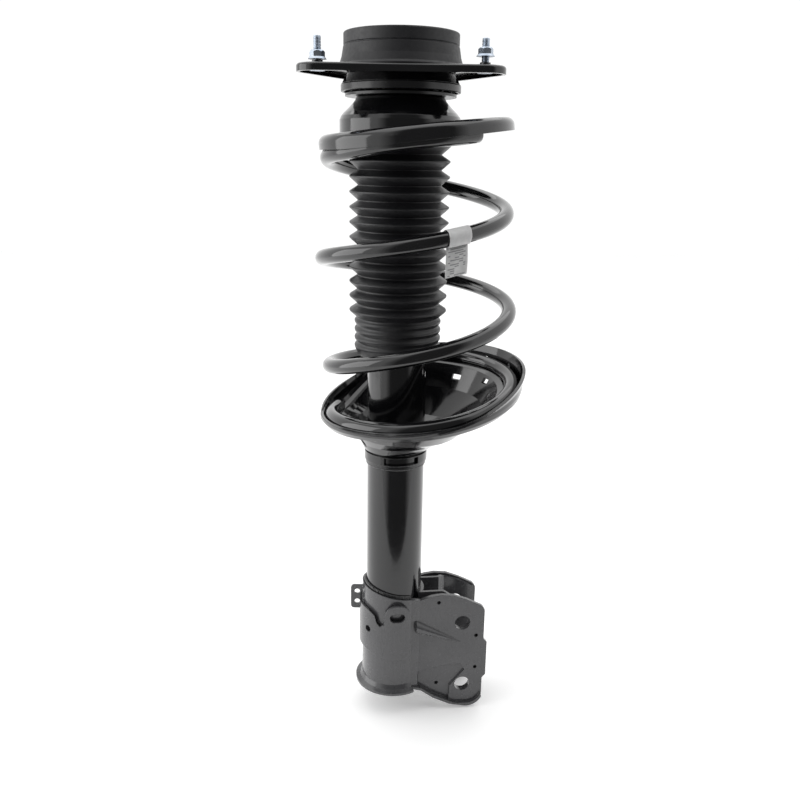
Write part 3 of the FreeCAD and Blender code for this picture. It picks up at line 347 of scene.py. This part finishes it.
def label():
    """Paper band round the wire, and its two halves stuck together hanging below it."""
    middle, half, thickness, across = 2.318, 9.3, 0.16, 12
    centre, along = coil_point(middle), coil_along(middle)
    flat = Vector((along.x, along.y, 0)).normalized()
    outward = Vector((centre.x - 12.2, centre.y, 0)).normalized()
    up = Vector((0, 0, 1))
    radius = WIRE + 0.86
    angles = [math.radians(-58 + 296 * k / 24) for k in range(25)]
    band = [(math.cos(angle) * radius, math.sin(angle) * radius) for angle in angles]
    tail = [(0.9 + 0.5 * math.sin(k * 0.35), -radius + 0.9 - k * 2.3) for k in range(11)]
    points, faces, uvs = [], [], []

    def add(path, hanging):
        base = len(points)
        count = len(path)
        for layer in (0, 1):
            for i, (out, rise) in enumerate(path):
                before, after = path[max(i - 1, 0)], path[min(i + 1, count - 1)]
                run = Vector((after[0] - before[0], after[1] - before[1]))
                normal = Vector((run.y, -run.x)).normalized() if run.length else Vector((1, 0))
                for k in range(across + 1):
                    s = -half + 2 * half * k / across
                    wave = 0.25 * math.sin(s * 0.5 + i * 0.4) if hanging else 0.0
                    o = out + normal.x * thickness * layer + wave
                    z = rise + normal.y * thickness * layer
                    points.append(tuple(centre + flat * s + outward * o + up * z + up * s * along.z))
                    uvs.append((k / across, i / (count - 1) if hanging else 0.05))
        width = across + 1
        layer_size = count * width
        for i in range(count - 1):
            for k in range(across):
                a = base + i * width + k
                faces.append((a, a + 1, a + width + 1, a + width))
                b = a + layer_size
                faces.append((b, b + width, b + width + 1, b + 1))
        for i in range(count - 1):
            for k in (0, across):
                a = base + i * width + k
                quad = (a, a + width, a + width + layer_size, a + layer_size)
                faces.append(quad if k == 0 else tuple(reversed(quad)))
        for k in range(across):
            for i in (0, count - 1):
                a = base + i * width + k
                quad = (a, a + layer_size, a + layer_size + 1, a + 1)
                faces.append(quad if i == 0 else tuple(reversed(quad)))

    add(band, False)
    add(tail, True)
    thing = build("paper_label", points, faces, "label_paper", replaced=["coil_label"])
    layer = thing.data.uv_layers.new(name="UVMap")
    for loop in thing.data.loops:
        layer.data[loop.index].uv = uvs[loop.vertex_index]
    follow_coil(thing)


# ------------------------------------------------------------ boot

def boot():
    """Bellows: sharp folds high up, softer ones lower down, and a lip gripping the tube."""
    outer = []
    large, small = 12.16, 7.13
    for i in range(12):
        crest = -57.3 - i * large
        outer += [(34.0, crest + 0.43 * large), (41.25, crest + 0.55), (41.25, crest - 0.55)]
    for i in range(4):
        crest = -200.5 - i * small
        outer += [(34.8, crest + 0.45 * small), (36.9, crest + 0.8), (36.9, crest - 0.8)]
    inner = [(r - 1.3, z) for r, z in reversed(outer)]
    collar = 46.2
    section = [(32.7, -41.0), (collar, -41.0), (collar, -44.0), (35.0, -44.0)] + outer
    section += [(34.8, -227.6), (34.0, -229.6), (25.8, -229.6), (25.8, -227.6), (33.5, -227.6)] + inner
    soft = rounded(section, lambda r, z: 0.5 + 1.6 * min(max((-60 - z) / 120, 0), 1), arc=3)
    points, faces = lathe(soft, 144)
    thing = build("dust_boot_bellows", points, faces, "boot_rubber", "upper_seat", ["dust_boot"])
    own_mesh(thing)


# ------------------------------------------------------------ studs and welds

def studs():
    """Pressed-in studs with rolled M6 threads."""
    around, pitch, top, root, shank, circle = 32, 1.0, 19.5, 2.62, 3.0, 72.6
    for i in range(3):
        angle = math.radians(83 + 120 * i)
        cx, cy = circle * math.cos(angle), circle * math.sin(angle)
        rings = [[(0.01, -5.05)] * around, [(5.7, -5.05)] * around, [(6.0, -4.75)] * around,
                 [(6.0, -3.1)] * around, [(3.0, -3.05)] * around, [(3.0, 2.2)] * around]
        rows = int((top - 2.3) / 0.125)
        for row in range(rows + 1):
            z = 2.3 + (top - 2.3) * row / rows
            limit = min(shank, 2.3 + (top - z) * 0.9)
            ring = []
            for k in range(around):
                phase = (z / pitch - k / around) % 1.0
                flank = min(abs(phase - 0.5) * 2.6, 1.0)
                ring.append((min(shank - (shank - root) * flank, limit), z))
            rings.append(ring)
        rings.append([(0.01, top)] * around)
        turned = []
        for ring in rings:
            turned.append([(cx + r * math.cos(2 * math.pi * k / around),
                            cy + r * math.sin(2 * math.pi * k / around), z)
                           for k, (r, z) in enumerate(ring)])
        points, faces = sweep(turned)
        build(f"threaded_stud_{i + 1}", points, faces, "zinc_plate", "top_mount",
              ["mount_studs"] if i == 0 else [])


def bead(name, body, replaced, start, end, closed, section, lift, pitch):
    """A weld bead round the tube: section(ripple) gives (radius, height), lift(x) the height at x."""
    rng = random.Random(name)
    steps = int(math.radians(end - start) * 26 / 0.35)
    rings = []
    wobble = 0.0
    for i in range(steps if closed else steps + 1):
        angle = math.radians(start + (end - start) * i / steps)
        along = angle * 26
        wobble = 0.9 * wobble + 0.1 * rng.uniform(-1, 1)
        phase = (along / pitch) % 1.0
        ripple = 0.62 + 0.3 * math.sqrt(1 - phase) + 0.06 * wobble
        ring = []
        for r, z in section(min(ripple, 1.0)):
            x, y = r * math.cos(angle), r * math.sin(angle)
            ring.append((x, y, z + lift(x)))
        rings.append(ring)
    points, faces = sweep(rings, loop=closed)
    build(name, points, faces, "gloss_black_paint", body, replaced)


def welds():
    tube, root = 25.6, -327.65

    def fillet(ripple):
        arc = [(tube + 2.85 * ripple * math.cos(a), 3.35 * (0.25 + 0.75 * ripple) * math.sin(a))
               for a in (math.radians(90 * k / 7) for k in range(8))]
        return [(tube, 0.0)] + arc

    bead("bracket_weld_bead", "lower_strut", ["bracket_weld"], 62, 298, False, fillet,
         lambda x: -453.27 - 0.2196 * x, 1.5)

    def under(ripple):
        reach = 1.6 * ripple
        return [(tube, root), (tube + reach, root), (tube + reach * 0.8, root - 1.3 * ripple),
                (tube + reach * 0.35, root - 2.2 * ripple), (tube, root - 2.6 * ripple)]

    bead("seat_weld_bead", "lower_strut", ["seat_weld"], 0, 360, True, under, lambda x: 0.0, 1.3)


# ------------------------------------------------------------ camera, light, floor

def camera():
    """The photograph's viewing angle: close up from the front, turned a little, and looking down."""
    pitch, yaw, roll, turn = (math.radians(a) for a in (16.25, -0.258, 0.907, -7.0))
    spin = Matrix.Rotation(turn, 3, "Z") @ Matrix.Rotation(yaw, 3, "Z")
    right = spin @ Vector((1, 0, 0))
    forward = spin @ Vector((0, math.cos(pitch), -math.sin(pitch)))
    up = spin @ Vector((0, math.sin(pitch), math.cos(pitch)))
    tilted = right * math.cos(roll) + up * math.sin(roll)
    upright = up * math.cos(roll) - right * math.sin(roll)
    place = Matrix.Rotation(turn, 3, "Z") @ Vector((0, -0.702, 0)) + Vector((0, 0, -0.0675))
    data = bpy.data.cameras.new("camera")
    data.sensor_width = 36
    data.lens = 36 * 828 / 800
    data.clip_start, data.clip_end = 0.01, 50
    thing = bpy.data.objects.new("camera", data)
    bpy.context.scene.collection.objects.link(thing)
    axes = Matrix((tilted, upright, -forward)).transposed().to_4x4()
    thing.matrix_world = Matrix.Translation(place) @ axes
    bpy.context.scene.camera = thing


def floor():
    """A plain pale floor that glows faintly, so that it comes close to the white behind it."""
    level = -574.6
    outline = [(-3000, -330), (3000, -330), (3000, 4000), (-3000, 4000)]
    material, nt, shader = tree("pale_floor")
    tint = ramp(nt, noise(nt, 3.0), [(0.3, (0.90, 0.90, 0.90)), (0.7, (0.93, 0.93, 0.93))])
    nt.links.new(tint, shader.inputs["Base Color"])
    nt.links.new(spread(nt, noise(nt, 20.0), 0.75, 0.9), shader.inputs["Roughness"])
    shader.inputs["Emission Color"].default_value = (1.0, 1.0, 1.0, 1.0)
    shader.inputs["Emission Strength"].default_value = 0.2
    points = [(x, y, level) for x, y in outline]
    mesh = bpy.data.meshes.new("floor")
    mesh.from_pydata([tuple(c * MM for c in p) for p in points], [], [(0, 1, 2, 3)])
    mesh.materials.append(material)
    thing = bpy.data.objects.new("floor", mesh)
    bpy.context.scene.collection.objects.link(thing)


def area_light(name, place, aim, wide, tall, power):
    data = bpy.data.lights.new(name, "AREA")
    data.shape = "RECTANGLE"
    data.size, data.size_y = wide, tall
    data.energy = power
    thing = bpy.data.objects.new(name, data)
    thing.location = place
    thing.rotation_euler = (Vector(aim) - Vector(place)).to_track_quat("-Z", "Y").to_euler()
    bpy.context.scene.collection.objects.link(thing)


def world_light():
    """A white tent all round, with a darker opening on the side that the photograph was taken from."""
    world = bpy.data.worlds.new("tent")
    world.use_nodes = True
    nt = world.node_tree
    nt.nodes.clear()
    place = node(nt, "ShaderNodeTexCoord")
    level = node(nt, "ShaderNodeVectorMath", operation="MULTIPLY")
    level.inputs[1].default_value = (1.0, 1.0, 0.25)
    unit = node(nt, "ShaderNodeVectorMath", operation="NORMALIZE")
    facing = node(nt, "ShaderNodeVectorMath", operation="DOT_PRODUCT")
    nt.links.new(place.outputs["Generated"], level.inputs[0])
    nt.links.new(level.outputs["Vector"], unit.inputs[0])
    nt.links.new(unit.outputs["Vector"], facing.inputs[0])
    angle = math.radians(DARK_SIDE)
    facing.inputs[1].default_value = (math.cos(angle), math.sin(angle), 0.0)
    dark = ramp(nt, facing.outputs["Value"], [(0.60, (1.0, 1.0, 1.0)), (0.84, (0.13, 0.13, 0.13))])
    tent, seen = node(nt, "ShaderNodeBackground"), node(nt, "ShaderNodeBackground")
    nt.links.new(dark, tent.inputs["Color"])
    tent.inputs["Strength"].default_value = 1.05
    seen.inputs["Color"].default_value = (1, 1, 1, 1)
    seen.inputs["Strength"].default_value = 1.05
    path, mix, out = (node(nt, "ShaderNodeLightPath"), node(nt, "ShaderNodeMixShader"),
                      node(nt, "ShaderNodeOutputWorld"))
    nt.links.new(path.outputs["Is Camera Ray"], mix.inputs["Fac"])
    nt.links.new(tent.outputs["Background"], mix.inputs[1])
    nt.links.new(seen.outputs["Background"], mix.inputs[2])
    nt.links.new(mix.outputs["Shader"], out.inputs["Surface"])
    bpy.context.scene.world = world
    bpy.context.scene.view_settings.view_transform = "Standard"


# ------------------------------------------------------------ assembly

def paint_nodes():
    """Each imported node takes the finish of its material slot."""
    slots = {entry["node"]: entry["material_slot"] for entry in frame["record"]["subparts"]}
    for name, thing in nodes.items():
        material = bracket_paint if name in BRACKETS else BY_SLOT[slots[name]]
        thing.data.materials.clear()
        thing.data.materials.append(material)


paint_nodes()
spring()
label()
boot()
studs()
welds()
camera()
floor()
world_light()
area_light("top_softbox", (0.0, 0.35, 1.25), (0, 0.1, -0.3), 2.4, 2.4, 14)
area_light("left_panel", (-1.25, -0.05, 0.05), (0, -0.05, 0.0), 1.1, 1.2, 8)
